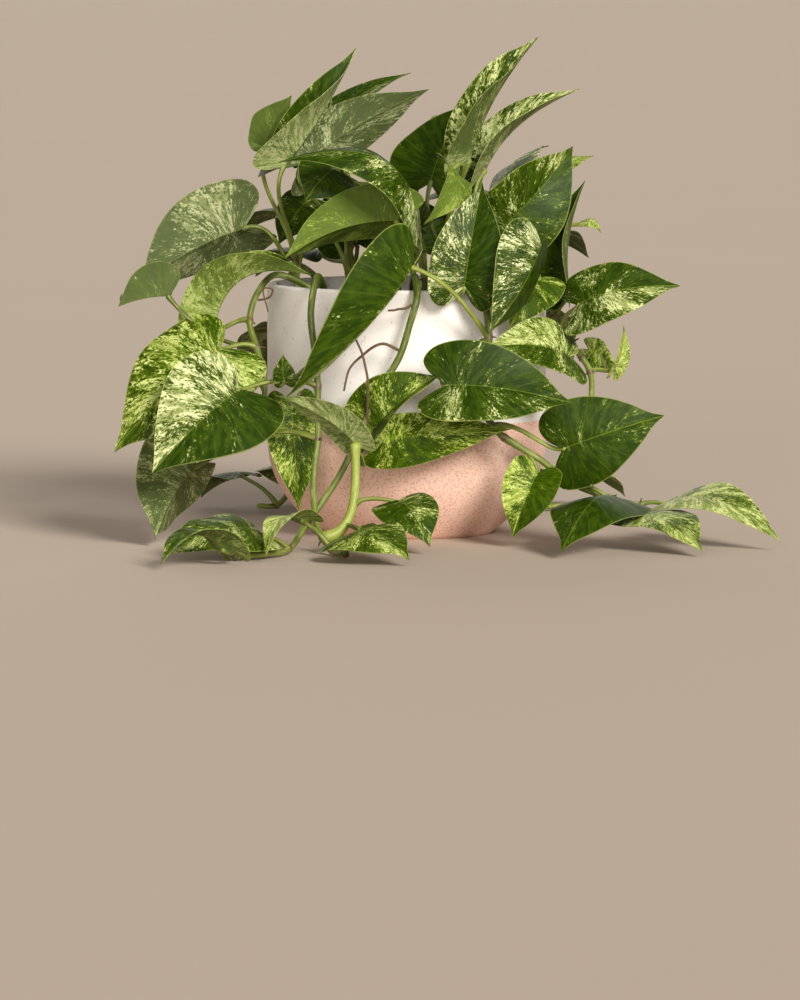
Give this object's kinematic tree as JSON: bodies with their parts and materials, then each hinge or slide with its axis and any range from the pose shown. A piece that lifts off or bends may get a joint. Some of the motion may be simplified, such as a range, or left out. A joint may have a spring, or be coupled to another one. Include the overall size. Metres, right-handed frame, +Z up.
{
  "type": "potted pothos plant",
  "caption": "Marbled pothos with upright and trailing leafy stems in a round two-tone pot filled with soil.",
  "frame": {"origin": "centre of the pot's flat underside", "axes": "+Z up, -Y towards the plant's front, +X to its right as seen from the front"},
  "size_m": [0.4653, 0.5085, 0.3553],
  "materials": {
    "pot_ceramic": "matte, off-white above a speckled pink dip",
    "potting_soil": "rough and crumbly, dark brown",
    "living_plant": "satin green, marbled with cream"
  },
  "bodies": {
    "root": {"pot": "pot_ceramic", "soil": "potting_soil", "vine_trailer_left": "living_plant", "vine_trailer_front_left": "living_plant", "vine_trailer_front": "living_plant", "vine_trailer_front_right": "living_plant", "vine_trailer_right": "living_plant", "vine_crown_left": "living_plant", "vine_crown_left_back": "living_plant", "vine_crown_front": "living_plant", "vine_crown_middle": "living_plant", "vine_crown_right": "living_plant", "vine_crown_right_front": "living_plant", "vine_crown_right_side": "living_plant", "vine_back_crown_left": "living_plant", "vine_back_crown_middle": "living_plant", "vine_back_crown_right": "living_plant", "vine_trailer_back_left": "living_plant", "vine_trailer_back_right": "living_plant", "vine_trailer_back": "living_plant"}
  },
  "joints": []
}
